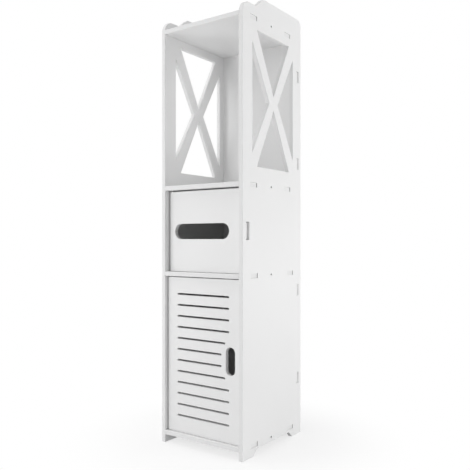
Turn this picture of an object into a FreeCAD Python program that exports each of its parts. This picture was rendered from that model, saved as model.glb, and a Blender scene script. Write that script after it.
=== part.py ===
import FreeCAD, Part
import math
import os

os.makedirs("parts", exist_ok=True)

# Tall narrow bathroom cabinet of flat boards that lock together with tabs and slots.
# Millimetres; the floor is z = 0, the front faces -Y, and x = 0 is midway between the sides.

# Carcass
cabinet_width = 228.0
cabinet_depth = 248.0
board = 10.0
foot_clearance = 18.5
door_bay_height = 356.5
tissue_bay_height = 187.0
cubby_height = 352.0
crest_height = 46.0
back_inset = 11.0

# Flat bevel along the board edges that a hand meets
arris = 0.7

# Outline of a side panel: feet, arch, and the stepped top
foot_length = 42.0
arch_height = 13.3
arch_slant = 14.0
arch_corner_radius = 8.0
rear_corner_radius = 15.0
crest_setback = 80.0
crest_radius = 18.0
shoulder_setback = 52.0
shoulder_drop = 23.0
shoulder_fall = 1.7
shoulder_radius = 25.0
valley_radius = 5.0

# X cut-out beside the cubby: four triangles between two crossing arms
stile_width = 38.0
cutout_top_margin = 18.8
cutout_bottom_margin = 35.7
arm_corner_across = 18.0
arm_corner_down = 29.5
arm_waist_across = 35.0
arm_waist_down = 31.0

# Tabs and the screws between them; the two lower shelves have their tabs further back
tab_length = 26.0
upper_tab_inset = 29.5
lower_tab_front_inset = 32.5
lower_tab_rear_inset = 16.5
tab_recess = 2.0
tab_clearance = 0.1
tab_end_gap = 0.5
lower_back_tab_shares = (0.25, 0.70)
upper_back_tab_shares = (0.35, 0.80)
screw_radius = 2.5
screw_length = 30.0
screw_recess = 2.0

# Fits shared by all pieces
seat_clearance = 0.05
running_clearance = 0.05
stop_gap = 0.3
overrun = 5.0
same_point = 1e-6

# Slotted door
slotted_recess = 8.0
slotted_hinge_gap = 2.5
slotted_free_gap = 2.5
slotted_top_gap = 2.3
slotted_bottom_gap = 0.6
slotted_edge_radius = 1.2
slot_count = 12
slot_pitch = 25.2
slot_height = 4.5
slot_side_margin = 28.0
pull_height = 61.0
pull_width = 24.2
pull_edge_margin = 12.8
pull_slot_margin = 11.5

# Tissue door
tissue_recess = 12.0
tissue_hinge_gap = 3.0
tissue_free_gap = 2.5
tissue_top_gap = 3.0
tissue_bottom_gap = 0.6
tissue_edge_radius = 4.0
tissue_slot_height = 35.0
tissue_slot_hinge_margin = 17.0
tissue_slot_free_margin = 31.5

# Pivot pins, and bushes whose collars stand out of the shelves to carry the doors
pin_radius = 2.0
pin_grip = 14.0
pin_reach = 3.6
bush_wall = 1.5
bush_depth = 4.2
bush_collar = 0.35

# Stop of the tissue door: a lip behind the door and a tab through the right side
stop_reach = 20.0
stop_lip = 8.0
stop_root = 3.7
stop_corner_radius = 2.5
stop_slot_width = 12.0
stop_slot_height = 39.0
stop_side_clearance = 0.4
stop_end_clearance = 2.0
stop_recess = 5.0

# Catch of the slotted door: an angle piece under the lower shelf
catch_width = 36.0
catch_drop = 22.0
catch_leg = 6.0
catch_flange = 4.0
catch_depth = 16.0
catch_inset = 38.0
catch_corner_radius = 4.0
catch_screw_spacing = 22.0
catch_screw_radius = 1.5
catch_screw_bite = 6.0
catch_screw_head_width = 5.5
catch_screw_head_height = 1.8

# Magnets in the stop and the catch, and the steel strikes that they hold
magnet_width = 10.0
magnet_height = 8.0
magnet_thickness = 3.0
strike_width = 12.0
strike_height = 10.0
strike_thickness = 1.2
stop_magnet_inset = 9.0

# Levels and planes that follow from the sizes above
half_width = cabinet_width / 2
inner_half = half_width - board
tab_half = half_width - tab_recess
front = -cabinet_depth / 2
shelf_depth = cabinet_depth - back_inset - board
back_front = front + shelf_depth
back_rear = back_front + board
bottom_shelf_z = foot_clearance
lower_shelf_z = bottom_shelf_z + board + door_bay_height
middle_shelf_z = lower_shelf_z + board + tissue_bay_height
top_shelf_z = middle_shelf_z + board + cubby_height
carcass_top = top_shelf_z + board
cabinet_height = carcass_top + crest_height
back_seam_z = lower_shelf_z + board + tissue_bay_height / 2
shelf_levels = {
    "bottom_shelf": bottom_shelf_z,
    "lower_shelf": lower_shelf_z,
    "middle_shelf": middle_shelf_z,
    "top_shelf": top_shelf_z,
}
bush_radius = pin_radius + running_clearance + bush_wall

UP = FreeCAD.Vector(0, 0, 1)
ACROSS = FreeCAD.Vector(1, 0, 0)
BACK = FreeCAD.Vector(0, 1, 0)


def vec(x, y, z):
    return FreeCAD.Vector(x, y, z)


def block(low, high):
    """Box between two opposite corners."""
    size = high - low
    return Part.makeBox(size.x, size.y, size.z, low)


def round_bar(start, direction, radius, length):
    """Cylinder from start along direction."""
    return Part.makeCylinder(radius, length, start, direction)


def mirrored(shape):
    """The same piece on the other side of the cabinet."""
    return shape.mirror(vec(0, 0, 0), ACROSS)


def joined(shape, others):
    """One solid of touching shapes, with no seams left on shared faces."""
    return shape.fuse(others).removeSplitter()


def span(middle, length):
    """Ends of a length about its middle."""
    return middle - length / 2, middle + length / 2


def near(a, b):
    return abs(a - b) < same_point


def edges_where(shape, test):
    """Edges whose end points all pass the test."""
    return [edge for edge in shape.Edges if all(test(vertex.Point) for vertex in edge.Vertexes)]


def rounded_face(corners, place):
    """Flat face whose corners (u, v, radius) are joined by straight runs and tangent arcs."""
    turns = []
    for i, (u, v, radius) in enumerate(corners):
        corner = vec(u, v, 0)
        before = vec(*corners[i - 1][:2], 0) - corner
        after = vec(*corners[(i + 1) % len(corners)][:2], 0) - corner
        half_angle = before.getAngle(after) / 2
        before.normalize()
        after.normalize()
        bisector = before + after
        bisector.normalize()
        run = radius / math.tan(half_angle)
        middle = corner + bisector * (radius / math.sin(half_angle) - radius)
        turns.append((corner + before * run, middle, corner + after * run))
    edges = []
    for i, (start, middle, end) in enumerate(turns):
        last_end = turns[i - 1][2]
        if last_end.distanceToPoint(start) > same_point:
            edges.append(Part.makeLine(place(last_end), place(start)))
        if start.distanceToPoint(end) > same_point:
            edges.append(Part.Arc(place(start), place(middle), place(end)).toShape())
    return Part.Face(Part.Wire(edges))


def on_side(x):
    """Placing of a (depth from the front, height) point on the plane at x."""
    return lambda point: vec(x, front + point.x, point.y)


def on_front(y):
    """Placing of an (x, height) point on the plane at y."""
    return lambda point: vec(point.x, y, point.y)


def on_level(z):
    """Placing of an (x, y) point on the plane at z."""
    return lambda point: vec(point.x, point.y, z)


# Carcass boards


def shelf_tab_spans(level):
    """Depths from the front between which the tabs of the shelf at that level run."""
    if level < middle_shelf_z:
        fore = lower_tab_front_inset
        aft = shelf_depth - lower_tab_rear_inset
    else:
        fore = upper_tab_inset
        aft = shelf_depth - upper_tab_inset
    return [(fore, fore + tab_length), (aft - tab_length, aft)]


def back_tab_spans(low_z, high_z, shares):
    """Heights between which the tabs of a back panel run."""
    return [span(low_z + share * (high_z - low_z), tab_length) for share in shares]


def side_outline():
    """Outline of a side panel, from the front foot round to the front shoulder."""
    arch_start = foot_length + arch_slant
    shoulder_z = cabinet_height - shoulder_drop
    return [
        (0, 0, 0),
        (foot_length, 0, 0),
        (arch_start, arch_height, arch_corner_radius),
        (cabinet_depth - arch_start, arch_height, arch_corner_radius),
        (cabinet_depth - foot_length, 0, 0),
        (cabinet_depth, 0, 0),
        (cabinet_depth, cabinet_height, rear_corner_radius),
        (crest_setback, cabinet_height, crest_radius),
        (shoulder_setback, shoulder_z, valley_radius),
        (0, shoulder_z - shoulder_fall, shoulder_radius),
    ]


def cutout_triangles():
    """The four triangles that leave an X, as corners in depth and height."""
    fore = stile_width
    aft = cabinet_depth - stile_width
    low = middle_shelf_z + board + cutout_bottom_margin
    high = top_shelf_z - cutout_top_margin
    mid_depth = (fore + aft) / 2
    mid_height = (low + high) / 2
    triangles = []
    for edge_z, waist in ((high, arm_waist_down / 2), (low, -arm_waist_down / 2)):
        apex = (mid_depth, mid_height + waist)
        triangles.append([(fore + arm_corner_across, edge_z), (aft - arm_corner_across, edge_z), apex])
    for edge_depth, waist in ((fore, -arm_waist_across / 2), (aft, arm_waist_across / 2)):
        apex = (mid_depth + waist, mid_height)
        triangles.append([(edge_depth, low + arm_corner_down), (edge_depth, high - arm_corner_down), apex])
    return triangles


def side_slot(depth_span, height_span, depth_gap, height_gap):
    """Slot through the right side, larger than its tab by the gaps."""
    low_y = front + depth_span[0] - depth_gap
    high_y = front + depth_span[1] + depth_gap
    low = vec(inner_half - overrun, low_y, height_span[0] - height_gap)
    high = vec(half_width + overrun, high_y, height_span[1] + height_gap)
    return block(low, high)


def side_screw(level):
    """Headless screw sunk in the right side, into the middle of a shelf's edge."""
    end = vec(half_width - screw_recess, front + shelf_depth / 2, level + board / 2)
    return round_bar(end, -ACROSS, screw_radius, screw_length)


def side_screw_hole(level):
    """Hole for that screw, through the right side into the shelf."""
    start = vec(half_width + overrun, front + shelf_depth / 2, level + board / 2)
    depth = overrun + screw_recess + screw_length + seat_clearance
    return round_bar(start, -ACROSS, screw_radius + seat_clearance, depth)


def side_panel(back_spans):
    """Right side panel, with the slots and screw holes that both sides share."""
    panel = rounded_face(side_outline(), on_side(inner_half)).extrude(ACROSS * board)
    windows = []
    for triangle in cutout_triangles():
        corners = [(depth, height, 0) for depth, height in triangle]
        window = rounded_face(corners, on_side(inner_half - overrun))
        windows.append(window.extrude(ACROSS * (board + 2 * overrun)))
    panel = panel.cut(windows)
    rims = []
    for x in (inner_half, half_width):
        rims += edges_where(panel, lambda p: near(p.x, x))
    panel = panel.makeChamfer(arris, rims)
    cuts = []
    for level in shelf_levels.values():
        for tab_span in shelf_tab_spans(level):
            cuts.append(side_slot(tab_span, (level, level + board), tab_end_gap, tab_clearance))
        cuts.append(side_screw_hole(level))
    for tab_span in back_spans:
        cuts.append(side_slot((shelf_depth, shelf_depth + board), tab_span, tab_clearance, tab_end_gap))
    return panel.cut(cuts)


def side_screws():
    """Screws of the right side, one into the edge of each shelf."""
    return Part.makeCompound([side_screw(level) for level in shelf_levels.values()])


def shelf(level):
    """Shelf board with bevelled front edges, two tabs a side and a screw hole in each end."""
    panel = block(vec(-inner_half, front, level), vec(inner_half, back_front, level + board))
    front_edges = []
    for z in (level, level + board):
        front_edges += edges_where(panel, lambda p: near(p.y, front) and near(p.z, z))
    panel = panel.makeChamfer(arris, front_edges)
    tabs = []
    for fore, aft in shelf_tab_spans(level):
        tabs.append(block(vec(-tab_half, front + fore, level), vec(tab_half, front + aft, level + board)))
    hole = side_screw_hole(level)
    return joined(panel, tabs).cut([hole, mirrored(hole)])


def back_panel(low_z, high_z, tab_spans):
    """Back board with two tabs a side."""
    panel = block(vec(-inner_half, back_front, low_z), vec(inner_half, back_rear, high_z))
    tabs = [block(vec(-tab_half, back_front, low), vec(tab_half, back_rear, high)) for low, high in tab_spans]
    return joined(panel, tabs)


# Doors and their hardware


def door_corners(recess, hinge_gap, free_gap, low_z, high_z):
    """Lowest and highest corner of a door that stands between the sides."""
    low = vec(-inner_half + hinge_gap, front + recess, low_z)
    high = vec(inner_half - free_gap, front + recess + board, high_z)
    return low, high


def door_board(low, high, hinge_radius):
    """Door board with a round front hinge edge, to turn beside the side panel, and bevels elsewhere."""
    sharp_corners = [(high.x, low.y, 0), (high.x, high.y, 0), (low.x, high.y, 0)]
    outline = [(low.x, low.y, hinge_radius)] + sharp_corners
    panel = rounded_face(outline, on_level(low.z)).extrude(UP * (high.z - low.z))
    rims = []
    for z in (low.z, high.z):
        rims += edges_where(panel, lambda p: near(p.z, z))
    for x, y, radius in sharp_corners:
        rims += edges_where(panel, lambda p: near(p.x, x) and near(p.y, y))
    return panel.makeChamfer(arris, rims)


def stadium_cut(across, upright, face_y):
    """Through cut with round ends in a board whose front face is at face_y."""
    low_x, high_x = across
    low_z, high_z = upright
    radius = min(high_x - low_x, high_z - low_z) / 2
    corners = [
        (low_x, low_z, radius),
        (high_x, low_z, radius),
        (high_x, high_z, radius),
        (low_x, high_z, radius),
    ]
    return rounded_face(corners, on_front(face_y - overrun)).extrude(BACK * (board + 2 * overrun))


def within(value, ends):
    return ends[0] - same_point < value < ends[1] + same_point


def hand_hole(door, across, upright, face_y):
    """Door with a round-ended opening whose rims are bevelled for the hand."""
    door = door.cut(stadium_cut(across, upright, face_y))
    rims = []
    for y in (face_y, face_y + board):
        rims += edges_where(door, lambda p: near(p.y, y) and within(p.x, across) and within(p.z, upright))
    return door.makeChamfer(arris, rims)


def pivot(axis_x, axis_y, door_z, shelf_z, upwards):
    """Pin, bush, and the holes for them where a door meets a shelf."""
    way = UP if upwards else -UP
    door_point = vec(axis_x, axis_y, door_z)
    shelf_point = vec(axis_x, axis_y, shelf_z)
    grip_end = door_point - way * pin_grip
    pin_length = pin_grip + abs(shelf_z - door_z) + pin_reach
    collar_face = shelf_point - way * bush_collar
    sleeve = round_bar(collar_face, way, bush_radius, bush_collar + bush_depth)
    bore_length = bush_collar + bush_depth + 2 * overrun
    bore = round_bar(collar_face - way * overrun, way, pin_radius + running_clearance, bore_length)
    return {
        "pin": round_bar(grip_end, way, pin_radius, pin_length),
        "bush": sleeve.cut(bore),
        "door_hole": round_bar(grip_end, way, pin_radius + seat_clearance, pin_grip + overrun),
        "shelf_hole": round_bar(shelf_point, way, bush_radius + seat_clearance, bush_depth + seat_clearance),
    }


def upright_plate(x, z, width, height, depths):
    """Flat block about a point, between two depths."""
    low_x, high_x = span(x, width)
    low_z, high_z = span(z, height)
    return block(vec(low_x, depths[0], low_z), vec(high_x, depths[1], high_z))


def magnet_pair(x, z, door_rear):
    """Strike let into the rear of a door, the magnet that faces it across the stop gap, and their seats."""
    play = 2 * seat_clearance
    strike_front = door_rear - strike_thickness
    magnet_front = door_rear + stop_gap
    magnet_rear = magnet_front + magnet_thickness
    strike_seat = upright_plate(x, z, strike_width + play, strike_height + play,
                                (strike_front, door_rear + overrun))
    magnet_seat = upright_plate(x, z, magnet_width + play, magnet_height + play,
                                (magnet_front - overrun, magnet_rear + seat_clearance))
    return {
        "strike": upright_plate(x, z, strike_width, strike_height, (strike_front, door_rear)),
        "strike_seat": strike_seat,
        "magnet": upright_plate(x, z, magnet_width, magnet_height, (magnet_front, magnet_rear)),
        "magnet_seat": magnet_seat,
    }


def hex_head(seat, across_flats, height):
    """Hexagonal screw head hanging down from its seat."""
    sides = 6
    reach = across_flats / (2 * math.cos(math.pi / sides))
    corners = []
    for i in range(sides):
        turn = 2 * math.pi * i / sides
        corners.append((seat.x + reach * math.cos(turn), seat.y + reach * math.sin(turn), 0))
    return rounded_face(corners, on_level(seat.z)).extrude(-UP * height)


parts = {}

lower_back_spans = back_tab_spans(bottom_shelf_z, back_seam_z, lower_back_tab_shares)
upper_back_spans = back_tab_spans(back_seam_z, carcass_top, upper_back_tab_shares)
right_side = side_panel(lower_back_spans + upper_back_spans)
parts["left_side_panel"] = mirrored(right_side)
parts["lower_back_panel"] = back_panel(bottom_shelf_z, back_seam_z, lower_back_spans)
parts["upper_back_panel"] = back_panel(back_seam_z, carcass_top, upper_back_spans)
parts["right_side_screws"] = side_screws()
parts["left_side_screws"] = mirrored(parts["right_side_screws"])

# Slotted door: level slots across its face, shortened beside the finger pull
slotted_low, slotted_high = door_corners(
    slotted_recess, slotted_hinge_gap, slotted_free_gap,
    bottom_shelf_z + board + slotted_bottom_gap, lower_shelf_z - slotted_top_gap)
slotted_mid_z = (slotted_low.z + slotted_high.z) / 2
slotted_axis = (slotted_low.x + board / 2, slotted_low.y + board / 2)
slotted_door = door_board(slotted_low, slotted_high, slotted_edge_radius)

pull_high_x = slotted_high.x - pull_edge_margin
pull_x = pull_high_x - pull_width / 2
pull_across = (pull_high_x - pull_width, pull_high_x)
slotted_door = hand_hole(slotted_door, pull_across, span(slotted_mid_z, pull_height), slotted_low.y)

pull_straight_half = (pull_height - pull_width) / 2
slot_keep = pull_width / 2 + pull_slot_margin
slotted_cuts = []
for i in range(slot_count):
    rise = (i - (slot_count - 1) / 2) * slot_pitch
    past_straight = max(abs(rise) - pull_straight_half, 0)
    slot_end = slotted_high.x - slot_side_margin
    if past_straight < slot_keep:
        slot_end = min(slot_end, pull_x - math.sqrt(slot_keep ** 2 - past_straight ** 2))
    slot_across = (slotted_low.x + slot_side_margin, slot_end)
    slotted_cuts.append(stadium_cut(slot_across, span(slotted_mid_z + rise, slot_height), slotted_low.y))

catch_x = inner_half - catch_inset
slotted_upper = pivot(*slotted_axis, slotted_high.z, lower_shelf_z, True)
slotted_lower = pivot(*slotted_axis, slotted_low.z, bottom_shelf_z + board, False)
slotted_hold = magnet_pair(catch_x, lower_shelf_z - catch_drop / 2, slotted_high.y)
slotted_cuts += [slotted_upper["door_hole"], slotted_lower["door_hole"], slotted_hold["strike_seat"]]
parts["slotted_door"] = slotted_door.cut(slotted_cuts)
parts["slotted_door_upper_pin"] = slotted_upper["pin"]
parts["slotted_door_lower_pin"] = slotted_lower["pin"]
parts["slotted_door_upper_bush"] = slotted_upper["bush"]
parts["slotted_door_lower_bush"] = slotted_lower["bush"]
parts["slotted_door_strike"] = slotted_hold["strike"]
parts["slotted_door_magnet"] = slotted_hold["magnet"]

# Catch of the slotted door, screwed up into the lower shelf
catch_front = slotted_high.y + stop_gap
catch_left, catch_right = span(catch_x, catch_width)
catch_foot_z = lower_shelf_z - catch_drop
leg = block(vec(catch_left, catch_front, catch_foot_z),
            vec(catch_right, catch_front + catch_leg, lower_shelf_z))
leg_corners = []
for x in (catch_left, catch_right):
    leg_corners += edges_where(leg, lambda p: near(p.x, x) and near(p.z, catch_foot_z))
leg = leg.makeFillet(catch_corner_radius, leg_corners)
flange = block(vec(catch_left, catch_front, lower_shelf_z - catch_flange),
               vec(catch_right, catch_front + catch_depth, lower_shelf_z))
catch_screws = []
catch_screw_holes = []
catch_screw_y = catch_front + (catch_leg + catch_depth) / 2
catch_screw_length = catch_flange + catch_screw_bite
for x in span(catch_x, catch_screw_spacing):
    head_seat = vec(x, catch_screw_y, lower_shelf_z - catch_flange)
    shank = round_bar(head_seat, UP, catch_screw_radius, catch_screw_length)
    catch_screws.append(joined(shank, hex_head(head_seat, catch_screw_head_width, catch_screw_head_height)))
    hole_start = head_seat - UP * overrun
    hole_length = overrun + catch_screw_length + seat_clearance
    catch_screw_holes.append(round_bar(hole_start, UP, catch_screw_radius + seat_clearance, hole_length))
parts["slotted_door_catch"] = joined(leg, flange).cut([slotted_hold["magnet_seat"]] + catch_screw_holes)
parts["catch_screws"] = Part.makeCompound(catch_screws)

# Tissue door: the slot lies nearer to the hinge than to the free edge
tissue_low, tissue_high = door_corners(
    tissue_recess, tissue_hinge_gap, tissue_free_gap,
    lower_shelf_z + board + tissue_bottom_gap, middle_shelf_z - tissue_top_gap)
tissue_mid_z = (tissue_low.z + tissue_high.z) / 2
tissue_axis = (tissue_low.x + board / 2, tissue_low.y + board / 2)
tissue_door = door_board(tissue_low, tissue_high, tissue_edge_radius)
tissue_slot_across = (tissue_low.x + tissue_slot_hinge_margin, tissue_high.x - tissue_slot_free_margin)
tissue_door = hand_hole(tissue_door, tissue_slot_across, span(tissue_mid_z, tissue_slot_height), tissue_low.y)
tissue_upper = pivot(*tissue_axis, tissue_high.z, middle_shelf_z, True)
tissue_lower = pivot(*tissue_axis, tissue_low.z, lower_shelf_z + board, False)
tissue_hold = magnet_pair(inner_half - stop_reach + stop_magnet_inset, tissue_mid_z, tissue_high.y)
parts["tissue_door"] = tissue_door.cut(
    [tissue_upper["door_hole"], tissue_lower["door_hole"], tissue_hold["strike_seat"]])
parts["tissue_door_upper_pin"] = tissue_upper["pin"]
parts["tissue_door_lower_pin"] = tissue_lower["pin"]
parts["tissue_door_upper_bush"] = tissue_upper["bush"]
parts["tissue_door_lower_bush"] = tissue_lower["bush"]
parts["tissue_door_strike"] = tissue_hold["strike"]
parts["tissue_door_magnet"] = tissue_hold["magnet"]

# Stop of the tissue door, whose tab goes through a slot in the right side
stop_front = tissue_high.y + stop_gap
stop_slot_rear = stop_front + stop_root
stop_slot_front = stop_slot_rear - stop_slot_width
stop_slot_low_z, stop_slot_high_z = span(tissue_mid_z, stop_slot_height)
stop_low_z = stop_slot_low_z + stop_end_clearance
stop_high_z = stop_slot_high_z - stop_end_clearance
lip_x = inner_half - stop_reach
lip = block(vec(lip_x, stop_front, stop_low_z), vec(inner_half, stop_front + stop_lip, stop_high_z))
lip_corners = []
for z in (stop_low_z, stop_high_z):
    lip_corners += edges_where(lip, lambda p: near(p.x, lip_x) and near(p.z, z))
lip = lip.makeFillet(stop_corner_radius, lip_corners)
stop_tab = block(vec(inner_half, stop_slot_front + stop_side_clearance, stop_low_z),
                 vec(half_width - stop_recess, stop_slot_rear - stop_side_clearance, stop_high_z))
stop_slot = block(vec(inner_half - overrun, stop_slot_front, stop_slot_low_z),
                  vec(half_width + overrun, stop_slot_rear, stop_slot_high_z))
parts["tissue_door_stop"] = joined(lip, stop_tab).cut(tissue_hold["magnet_seat"])
parts["right_side_panel"] = right_side.cut(stop_slot)

# Shelves, with the seats of the bushes and of the catch's screws
parts["top_shelf"] = shelf(top_shelf_z)
parts["middle_shelf"] = shelf(middle_shelf_z).cut(tissue_upper["shelf_hole"])
parts["lower_shelf"] = shelf(lower_shelf_z).cut(
    [tissue_lower["shelf_hole"], slotted_upper["shelf_hole"]] + catch_screw_holes)
parts["bottom_shelf"] = shelf(bottom_shelf_z).cut(slotted_lower["shelf_hole"])

for name, shape in parts.items():
    shape.exportStep(os.path.join("parts", name + ".step"))
    print(name, "solids", len(shape.Solids), "valid", shape.isValid(), "volume", round(shape.Volume, 1))
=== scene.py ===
import math

import bmesh
import bpy
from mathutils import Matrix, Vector


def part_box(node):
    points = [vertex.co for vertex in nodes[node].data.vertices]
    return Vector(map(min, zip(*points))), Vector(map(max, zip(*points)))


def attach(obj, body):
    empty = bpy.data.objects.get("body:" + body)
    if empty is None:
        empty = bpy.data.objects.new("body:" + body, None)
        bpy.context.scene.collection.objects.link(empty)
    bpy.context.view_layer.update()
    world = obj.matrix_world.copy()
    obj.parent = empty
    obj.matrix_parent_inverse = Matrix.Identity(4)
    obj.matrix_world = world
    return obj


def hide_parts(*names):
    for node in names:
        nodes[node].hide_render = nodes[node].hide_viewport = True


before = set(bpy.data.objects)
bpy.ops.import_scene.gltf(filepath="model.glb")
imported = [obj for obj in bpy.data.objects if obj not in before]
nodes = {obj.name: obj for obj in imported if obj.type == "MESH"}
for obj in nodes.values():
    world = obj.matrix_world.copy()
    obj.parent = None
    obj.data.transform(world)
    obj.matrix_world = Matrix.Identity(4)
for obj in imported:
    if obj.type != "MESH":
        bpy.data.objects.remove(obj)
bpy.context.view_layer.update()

# Metres: the floor is z = 0, the front faces -Y, and the right side is +X.

# Share of light that each finish sends back, and how much of it is left in its darkest spots
BOARD_SKIN = 0.84
BOARD_CORE = 0.83
MOULDED_SHADE = 0.80
NYLON_SHADE = 0.72
STEEL_SHADE = 0.56
NICKEL_SHADE = 0.45
ZINC_SHADE = 0.20
DARKEST_SKIN = 0.99
DARKEST_CORE = 0.95
DARKEST_PLASTIC = 0.97
DARKEST_METAL = 0.88

# Roughness
CORE_ROUGHNESS = 0.62
SKIN_ROUGHNESS = 0.46
PLASTIC_ROUGHNESS = (0.42, 0.58)
STEEL_ROUGHNESS = (0.22, 0.38)
NICKEL_ROUGHNESS = (0.15, 0.28)
ZINC_ROUGHNESS = (0.34, 0.5)

# Textures: features in a metre, the noise levels that the shades spread over, and the bumps' depth
BOARD_CLOUDS = 7.0
BOARD_CELLS = 900.0
BOARD_PEEL = 420.0
PLASTIC_CLOUDS = 60.0
PLASTIC_GRAIN = 1800.0
METAL_SCRATCHES = 700.0
PAPER_TOOTH = 300.0
COARSE_DETAIL = 3.0
FINE_DETAIL = 2.0
WIDE_BAND = (0.3, 0.7)
NARROW_BAND = (0.35, 0.65)
PEEL_STRENGTH = 0.06
PEEL_DEPTH = 0.0004
GRAIN_STRENGTH = 0.12
GRAIN_DEPTH = 0.0002

# How square to a board a face is where its skin begins and where it is whole
SKIN_FACING = (0.35, 0.75)

# Scratches are drawn out along an axis by a small scale there
SCRATCHED_ALONG_Z = (1.0, 1.0, 0.05)
SCRATCHED_ALONG_Y = (1.0, 0.2, 1.0)
SPECKLED = (1.0, 1.0, 1.0)

# Side screws
SCREW_Y = -0.0105
SCREW_LEVELS = (0.0235, 0.390, 0.587, 0.949)
SCREW_RADIUS = 0.0025
SCREW_LENGTH = 0.030
SCREW_SIDES = 24
END_BEVEL = 0.0004
NECK_LENGTH = 0.0060
SOCKET_FLATS = 0.0025
SOCKET_DEPTH = 0.0018
THREAD_ROOT = 0.0019
THREAD_PITCH = 0.0016
THREAD_START = 0.0064
THREAD_END = 0.0272
THREAD_RINGS = 79
RIDGE_SHARE = 0.3
TIP_START = 0.0276
TIP_RADIUS = THREAD_ROOT * 0.55

# Studio: the floor's shadow gives way to white between the two distances of SHADOW_REACH
WHITE = (1.0, 1.0, 1.0, 1.0)
DOME_STRENGTH = 0.45
FLOOR_SIZE = 12.0
PAPER_SHADES = (0.93, 0.95)
PAPER_ROUGHNESS = 0.9
PAPER_SPECULAR = 0.1
SHADOW_REACH = (0.10, 0.42)
WHITE_SHARE_NEAR = 0.7

# Softboxes: name, place, what it points at, width and height, watts
SOFTBOXES = (
    ("right_softbox", (2.2, 1.1, 1.7), (0.0, 0.0, 0.6), (1.4, 1.6), 3.0),
    ("right_tall_softbox", (2.3, 0.6, 0.6), (0.0, 0.0, 0.5), (1.2, 2.6), 20.0),
    ("rear_low_softbox", (1.6, 1.4, 0.25), (0.0, 0.0, 0.2), (1.2, 0.5), 6.5),
    ("front_softbox", (-0.9, -1.0, 0.45), (0.0, -0.12, 0.45), (0.6, 0.8), 3.6),
    ("left_softbox", (-2.0, -0.4, 0.8), (0.0, 0.0, 0.75), (1.0, 1.0), 6.0),
    ("high_softbox", (-0.2, -2.2, 1.3), (0.0, 0.0, 0.5), (1.2, 0.8), 5.0),
    ("top_softbox", (-1.0, -0.6, 2.2), (0.0, 0.0, 0.7), (1.2, 1.2), 12.0),
)

# Camera: level, to the right of the front; the lens and the sensor are in millimetres
CAMERA_PLACE = (0.8342, -1.1566, 0.4678)
CAMERA_TILT = math.radians(90.0)
CAMERA_TURN = math.radians(35.65)
LENS = 45.87
SENSOR = 36.0
SHIFT_X = 0.00096
SHIFT_Y = 0.0106
CLIP_START = 0.01

scene = bpy.context.scene


# Materials

class Graph:
    """A material's node tree, with short ways to add and join nodes."""

    def __init__(self, name):
        self.material = bpy.data.materials.new(name)
        self.material.use_nodes = True
        self.tree = self.material.node_tree
        self.tree.nodes.clear()
        self.shader = self.add("ShaderNodeBsdfPrincipled")
        self.output = self.add("ShaderNodeOutputMaterial")
        self.join(self.shader, "BSDF", self.output, "Surface")

    def add(self, kind, **values):
        node = self.tree.nodes.new(kind)
        for key, value in values.items():
            setattr(node, key, value)
        return node

    def join(self, a, out, b, into):
        self.tree.links.new(a.outputs[out], b.inputs[into])

    def noise(self, source, out, scale, detail):
        node = self.add("ShaderNodeTexNoise")
        node.inputs["Scale"].default_value = scale
        node.inputs["Detail"].default_value = detail
        self.join(source, out, node, "Vector")
        return node

    def ramp(self, source, band, shades):
        """Greys from the first shade to the second over a band of noise levels."""
        node = self.add("ShaderNodeValToRGB")
        for element, level, shade in zip(node.color_ramp.elements, band, shades):
            element.position = level
            element.color = (shade, shade, shade, 1.0)
        self.join(source, "Fac", node, "Fac")
        return node

    def spread(self, source, out, low, high, start=0.0, end=1.0):
        """Maps start..end to low..high."""
        node = self.add("ShaderNodeMapRange")
        limits = (("From Min", start), ("From Max", end), ("To Min", low), ("To Max", high))
        for key, value in limits:
            node.inputs[key].default_value = value
        self.join(source, out, node, "Value")
        return node

    def blend(self, factor, a, b):
        """Colour a where factor is 0 and b where it is 1."""
        node = self.add("ShaderNodeMix", data_type="RGBA")
        self.join(factor, "Result", node, "Factor")
        self.tree.links.new(a.outputs["Color"], node.inputs["A"])
        self.tree.links.new(b.outputs["Color"], node.inputs["B"])
        return node

    def bump(self, height, strength, distance):
        node = self.add("ShaderNodeBump")
        node.inputs["Strength"].default_value = strength
        node.inputs["Distance"].default_value = distance
        self.join(height, "Fac", node, "Height")
        self.join(node, "Normal", self.shader, "Normal")


def board_material(name, axis):
    """White foamed board: satin skin with a faint orange peel, duller sawn edges round axis."""
    g = Graph(name)
    place = g.add("ShaderNodeTexCoord")
    clouds = g.noise(place, "Object", BOARD_CLOUDS, COARSE_DETAIL)
    skin_shade = g.ramp(clouds, WIDE_BAND, (BOARD_SKIN * DARKEST_SKIN, BOARD_SKIN))
    cells = g.noise(place, "Object", BOARD_CELLS, FINE_DETAIL)
    core_shade = g.ramp(cells, WIDE_BAND, (BOARD_CORE * DARKEST_CORE, BOARD_CORE))
    split = g.add("ShaderNodeSeparateXYZ")
    g.join(place, "Normal", split, "Vector")
    facing = g.add("ShaderNodeMath", operation="ABSOLUTE")
    g.join(split, axis, facing, 0)
    on_skin = g.spread(facing, "Value", 0.0, 1.0, *SKIN_FACING)
    colour = g.blend(on_skin, core_shade, skin_shade)
    g.tree.links.new(colour.outputs["Result"], g.shader.inputs["Base Color"])
    roughness = g.spread(on_skin, "Result", CORE_ROUGHNESS, SKIN_ROUGHNESS)
    g.join(roughness, "Result", g.shader, "Roughness")
    g.bump(g.noise(place, "Object", BOARD_PEEL, FINE_DETAIL), PEEL_STRENGTH, PEEL_DEPTH)
    return g.material


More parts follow.
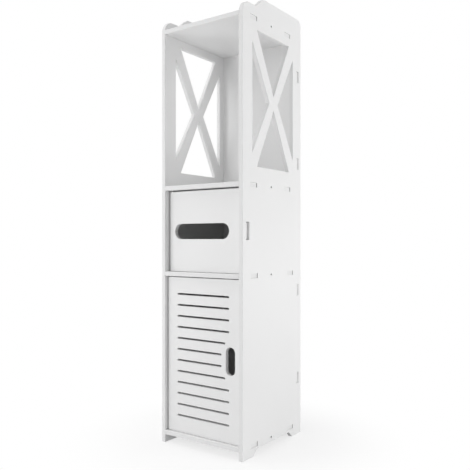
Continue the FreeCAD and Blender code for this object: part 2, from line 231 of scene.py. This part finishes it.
def plastic_material(name, shade):
    """Moulded plastic with a fine spark-eroded grain."""
    g = Graph(name)
    place = g.add("ShaderNodeTexCoord")
    clouds = g.noise(place, "Object", PLASTIC_CLOUDS, COARSE_DETAIL)
    tone = g.ramp(clouds, NARROW_BAND, (shade * DARKEST_PLASTIC, shade))
    g.join(tone, "Color", g.shader, "Base Color")
    grain = g.noise(place, "Object", PLASTIC_GRAIN, FINE_DETAIL)
    g.join(g.spread(grain, "Fac", *PLASTIC_ROUGHNESS), "Result", g.shader, "Roughness")
    g.bump(grain, GRAIN_STRENGTH, GRAIN_DEPTH)
    return g.material


def metal_material(name, shade, roughness, stretch):
    """Plated or turned metal with fine marks, stretched along one way where it is brushed."""
    g = Graph(name)
    place = g.add("ShaderNodeTexCoord")
    scale = g.add("ShaderNodeMapping")
    scale.inputs["Scale"].default_value = stretch
    g.join(place, "Object", scale, "Vector")
    marks = g.noise(scale, "Vector", METAL_SCRATCHES, COARSE_DETAIL)
    tone = g.ramp(marks, WIDE_BAND, (shade * DARKEST_METAL, shade))
    g.join(tone, "Color", g.shader, "Base Color")
    g.shader.inputs["Metallic"].default_value = 1.0
    g.join(g.spread(marks, "Fac", *roughness), "Result", g.shader, "Roughness")
    return g.material


board_x = board_material("board_across_x", "X")
board_y = board_material("board_across_y", "Y")
board_z = board_material("board_across_z", "Z")
moulded = plastic_material("moulded_plastic", MOULDED_SHADE)
nylon = plastic_material("bush_nylon", NYLON_SHADE)
steel = metal_material("pin_steel", STEEL_SHADE, STEEL_ROUGHNESS, SCRATCHED_ALONG_Z)
nickel = metal_material("magnet_nickel", NICKEL_SHADE, NICKEL_ROUGHNESS, SCRATCHED_ALONG_Y)
zinc = metal_material("dark_zinc", ZINC_SHADE, ZINC_ROUGHNESS, SPECKLED)

# Finish of each node, by the ending of its name
FINISHES = {
    "_side_panel": board_x,
    "_back_panel": board_y,
    "_door": board_y,
    "_shelf": board_z,
    "_stop": moulded,
    "_catch": moulded,
    "_bush": nylon,
    "_pin": steel,
    "_strike": steel,
    "_magnet": nickel,
    "_screws": zinc,
}

for name, obj in nodes.items():
    obj.data.materials.clear()
    for ending, material in FINISHES.items():
        if name.endswith(ending):
            obj.data.materials.append(material)


# Side screws: a hexagonal socket in the sunk end and a coarse thread down the shank

TURNS = [2.0 * math.pi * i / SCREW_SIDES for i in range(SCREW_SIDES)]


def hexagon(flats):
    """Radii of a hexagon at each turn, with corners at every sixth of a circle."""
    sixth = math.pi / 3.0
    return [flats / 2.0 / math.cos(turn % sixth - sixth / 2.0) for turn in TURNS]


def thread(depth):
    """Radii of a coarse thread at one depth: ridges that climb one pitch in each turn."""
    radii = []
    for turn in TURNS:
        phase = (depth / THREAD_PITCH + turn / (2.0 * math.pi)) % 1.0
        ridge = max(0.0, 1.0 - abs(phase - 0.5) / RIDGE_SHARE)
        radii.append(THREAD_ROOT + (SCREW_RADIUS - THREAD_ROOT) * ridge)
    return radii


def screw_rings():
    """(depth, radii) from the bottom of the socket, out over the end and down to the tip."""
    def circle(depth, radius):
        return depth, [radius] * SCREW_SIDES

    socket = hexagon(SOCKET_FLATS)
    rings = [(SOCKET_DEPTH, socket), (0.0, socket)]
    rings.append(circle(0.0, SCREW_RADIUS - END_BEVEL))
    rings.append(circle(END_BEVEL, SCREW_RADIUS))
    rings.append(circle(NECK_LENGTH, SCREW_RADIUS))
    for i in range(THREAD_RINGS):
        depth = THREAD_START + (THREAD_END - THREAD_START) * i / (THREAD_RINGS - 1)
        rings.append((depth, thread(depth)))
    rings.append(circle(TIP_START, THREAD_ROOT))
    rings.append(circle(SCREW_LENGTH, TIP_RADIUS))
    return rings


def add_screw(mesh, end, inward, level):
    """One screw along X, with its outer end at x = end and its tip towards inward."""
    loops = []
    for depth, radii in screw_rings():
        loop = []
        for turn, radius in zip(TURNS, radii):
            y = SCREW_Y + radius * math.cos(turn)
            z = level + radius * math.sin(turn)
            loop.append(mesh.verts.new((end + inward * depth, y, z)))
        loops.append(loop)
    for a, b in zip(loops, loops[1:]):
        for i in range(SCREW_SIDES):
            j = (i + 1) % SCREW_SIDES
            mesh.faces.new((a[i], a[j], b[j], b[i]))
    mesh.faces.new(loops[0])
    mesh.faces.new(loops[-1])


for side, inward in (("left", 1.0), ("right", -1.0)):
    name = side + "_side_screws"
    low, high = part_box(name)
    end = low[0] if inward > 0.0 else high[0]
    mesh = bmesh.new()
    for level in SCREW_LEVELS:
        add_screw(mesh, end, inward, level)
    bmesh.ops.recalc_face_normals(mesh, faces=mesh.faces)
    data = bpy.data.meshes.new(name + "_socketed")
    mesh.to_mesh(data)
    mesh.free()
    piece = bpy.data.objects.new(name + "_socketed", data)
    scene.collection.objects.link(piece)
    data.materials.append(zinc)
    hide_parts(name)
    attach(piece, "carcass")


# Floor, light and camera

def see_white(tree, kind):
    """A switch that is 1 for camera, mirror and glass rays, and the white that it shows."""
    path = tree.nodes.new("ShaderNodeLightPath")
    value = path.outputs["Is Camera Ray"]
    for ray in ("Is Glossy Ray", "Is Transmission Ray"):
        either = tree.nodes.new("ShaderNodeMath")
        either.operation = "MAXIMUM"
        tree.links.new(value, either.inputs[0])
        tree.links.new(path.outputs[ray], either.inputs[1])
        value = either.outputs["Value"]
    white = tree.nodes.new(kind)
    white.inputs["Color"].default_value = WHITE
    white.inputs["Strength"].default_value = 1.0
    return value, white.outputs[0]


def mix_shaders(tree, factor, a, b, out):
    pick = tree.nodes.new("ShaderNodeMixShader")
    tree.links.new(factor, pick.inputs[0])
    tree.links.new(a, pick.inputs[1])
    tree.links.new(b, pick.inputs[2])
    tree.links.new(pick.outputs[0], out.inputs["Surface"])


def softbox(name, place, target, size, power):
    lamp = bpy.data.lights.new(name, "AREA")
    lamp.shape = "RECTANGLE"
    lamp.size, lamp.size_y = size
    lamp.energy = power
    obj = bpy.data.objects.new(name, lamp)
    scene.collection.objects.link(obj)
    obj.location = place
    obj.rotation_euler = (Vector(target) - Vector(place)).to_track_quat("-Z", "Y").to_euler()
    obj.visible_camera = False


# The dome lights the object, but is seen as plain white
world = bpy.data.worlds.new("studio")
scene.world = world
world.use_nodes = True
tree = world.node_tree
tree.nodes.clear()
dome = tree.nodes.new("ShaderNodeBackground")
dome.inputs["Color"].default_value = WHITE
dome.inputs["Strength"].default_value = DOME_STRENGTH
seen, white = see_white(tree, "ShaderNodeBackground")
mix_shaders(tree, seen, dome.outputs[0], white, tree.nodes.new("ShaderNodeOutputWorld"))

# The floor keeps a soft shadow near the object and goes over to plain white further out
bpy.ops.mesh.primitive_plane_add(size=FLOOR_SIZE, location=(0.0, 0.0, 0.0))
floor = bpy.context.active_object
floor.name = "studio_floor"
g = Graph("floor_paper")
place = g.add("ShaderNodeTexCoord")
tooth = g.noise(place, "Object", PAPER_TOOTH, FINE_DETAIL)
g.join(g.ramp(tooth, WIDE_BAND, PAPER_SHADES), "Color", g.shader, "Base Color")
g.shader.inputs["Roughness"].default_value = PAPER_ROUGHNESS
g.shader.inputs["Specular IOR Level"].default_value = PAPER_SPECULAR
reach = g.add("ShaderNodeVectorMath", operation="LENGTH")
g.join(place, "Object", reach, "Vector")
fade = g.spread(reach, "Value", WHITE_SHARE_NEAR, 1.0, *SHADOW_REACH)
fade.interpolation_type = "SMOOTHSTEP"
seen, white = see_white(g.tree, "ShaderNodeEmission")
far = g.add("ShaderNodeMath", operation="MULTIPLY")
g.tree.links.new(seen, far.inputs[0])
g.join(fade, "Result", far, 1)
mix_shaders(g.tree, far.outputs["Value"], g.shader.outputs["BSDF"], white, g.output)
floor.data.materials.append(g.material)

for lamp in SOFTBOXES:
    softbox(*lamp)

lens = bpy.data.cameras.new("photo_camera")
camera = bpy.data.objects.new("photo_camera", lens)
scene.collection.objects.link(camera)
camera.location = CAMERA_PLACE
camera.rotation_euler = (CAMERA_TILT, 0.0, CAMERA_TURN)
lens.sensor_width = SENSOR
lens.lens = LENS
lens.shift_x = SHIFT_X
lens.shift_y = SHIFT_Y
lens.clip_start = CLIP_START
scene.camera = camera
scene.view_settings.view_transform = "Standard"
